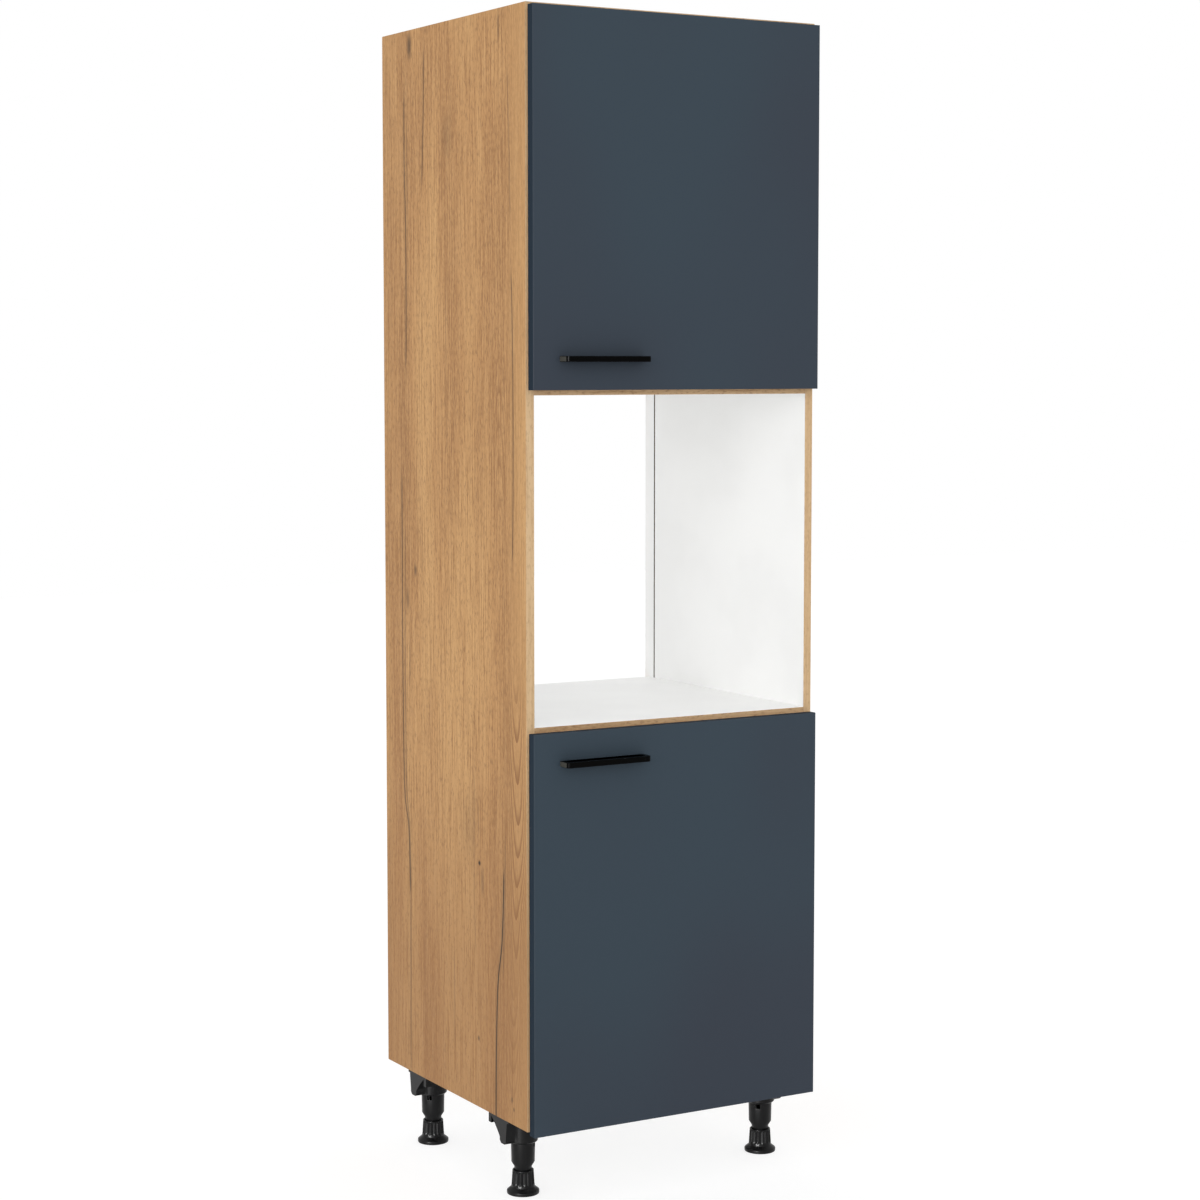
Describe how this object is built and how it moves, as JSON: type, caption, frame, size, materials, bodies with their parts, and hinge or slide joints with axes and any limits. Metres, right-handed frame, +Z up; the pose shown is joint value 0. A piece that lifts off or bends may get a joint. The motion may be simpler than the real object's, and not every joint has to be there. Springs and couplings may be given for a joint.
{
  "type": "tall oven housing unit",
  "caption": "Tall kitchen cabinet with an open oven niche between an upper and a lower hinged door, bar handles, grooved backs, shelves on pins and adjustable screw feet.",
  "frame": {"origin": "on the floor, at the centre of the footprint from the handles' fronts to the carcass rear edge", "axes": "+Z up, +X to the right seen from the front, the doors face -Y"},
  "size_m": [0.6, 0.6184, 2.112],
  "materials": {
    "oak_board": "oak decor on chipboard, white inside",
    "white_board": "white melamine on chipboard, oak front edge",
    "white_hardboard": "thin hardboard, white in front",
    "blue_front": "matt slate-blue coated board",
    "black_metal": "black, satin",
    "zinc_steel": "zinc-plated",
    "nickel_steel": "nickel-plated pressed steel",
    "black_plastic": "moulded, black"
  },
  "bodies": {
    "carcass": {"left_side_panel": "oak_board", "right_side_panel": "oak_board", "bottom_panel": "white_board", "niche_floor_board": "white_board", "niche_ceiling_board": "white_board", "top_panel": "white_board", "lower_back_panel": "white_hardboard", "upper_back_panel": "white_hardboard", "lower_shelf": "white_board", "upper_shelf": "white_board", "lower_shelf_pin_front_left": "zinc_steel", "lower_shelf_pin_rear_left": "zinc_steel", "lower_shelf_pin_front_right": "zinc_steel", "lower_shelf_pin_rear_right": "zinc_steel", "upper_shelf_pin_front_left": "zinc_steel", "upper_shelf_pin_rear_left": "zinc_steel", "upper_shelf_pin_front_right": "zinc_steel", "upper_shelf_pin_rear_right": "zinc_steel", "lower_bottom_hinge_plate": "nickel_steel", "lower_top_hinge_plate": "nickel_steel", "upper_bottom_hinge_plate": "nickel_steel", "upper_top_hinge_plate": "nickel_steel", "lower_bottom_hinge_arm": "nickel_steel", "lower_top_hinge_arm": "nickel_steel", "upper_bottom_hinge_arm": "nickel_steel", "upper_top_hinge_arm": "nickel_steel", "front_left_leg_bracket": "black_plastic", "front_right_leg_bracket": "black_plastic", "rear_left_leg_bracket": "black_plastic", "rear_right_leg_bracket": "black_plastic", "front_left_leg_tube": "black_plastic", "front_right_leg_tube": "black_plastic", "rear_left_leg_tube": "black_plastic", "rear_right_leg_tube": "black_plastic"},
    "lower_door": {"lower_door": "blue_front", "lower_handle": "black_metal", "lower_handle_screw_left": "zinc_steel", "lower_handle_screw_right": "zinc_steel", "lower_bottom_hinge_cup": "nickel_steel", "lower_top_hinge_cup": "nickel_steel"},
    "lower_hinge_links": {"lower_bottom_hinge_link": "nickel_steel", "lower_top_hinge_link": "nickel_steel"},
    "upper_door": {"upper_door": "blue_front", "upper_handle": "black_metal", "upper_handle_screw_left": "zinc_steel", "upper_handle_screw_right": "zinc_steel", "upper_bottom_hinge_cup": "nickel_steel", "upper_top_hinge_cup": "nickel_steel"},
    "upper_hinge_links": {"upper_bottom_hinge_link": "nickel_steel", "upper_top_hinge_link": "nickel_steel"},
    "front_left_foot": {"front_left_adjustable_foot": "black_plastic"},
    "front_right_foot": {"front_right_adjustable_foot": "black_plastic"},
    "rear_left_foot": {"rear_left_adjustable_foot": "black_plastic"},
    "rear_right_foot": {"rear_right_adjustable_foot": "black_plastic"}
  },
  "joints": [
    {"name": "lower_door_hinge", "type": "hinge", "parent": "carcass", "child": "lower_door", "pos_m": [0.2905, -0.27075, 0.4935], "axis": [0, 0, 1], "range_deg": [0, 105]},
    {"name": "lower_link_hinge", "type": "hinge", "parent": "carcass", "child": "lower_hinge_links", "pos_m": [0.2595, -0.25535, 0.4935], "axis": [0, 0, 1], "range_deg": [-19, 0]},
    {"name": "upper_door_hinge", "type": "hinge", "parent": "carcass", "child": "upper_door", "pos_m": [0.2905, -0.27075, 1.778], "axis": [0, 0, 1], "range_deg": [0, 105]},
    {"name": "upper_link_hinge", "type": "hinge", "parent": "carcass", "child": "upper_hinge_links", "pos_m": [0.2595, -0.25535, 1.778], "axis": [0, 0, 1], "range_deg": [-19, 0]},
    {"name": "front_left_foot_screw", "type": "slide", "parent": "carcass", "child": "front_left_foot", "axis": [0, 0, -1], "range_m": [0, 0.025]},
    {"name": "front_right_foot_screw", "type": "slide", "parent": "carcass", "child": "front_right_foot", "axis": [0, 0, -1], "range_m": [0, 0.025]},
    {"name": "rear_left_foot_screw", "type": "slide", "parent": "carcass", "child": "rear_left_foot", "axis": [0, 0, -1], "range_m": [0, 0.025]},
    {"name": "rear_right_foot_screw", "type": "slide", "parent": "carcass", "child": "rear_right_foot", "axis": [0, 0, -1], "range_m": [0, 0.025]}
  ],
  "couplings": [
    {"joint": "lower_link_hinge", "follows": "lower_door_hinge", "ratio": -0.18},
    {"joint": "upper_link_hinge", "follows": "upper_door_hinge", "ratio": -0.18}
  ]
}
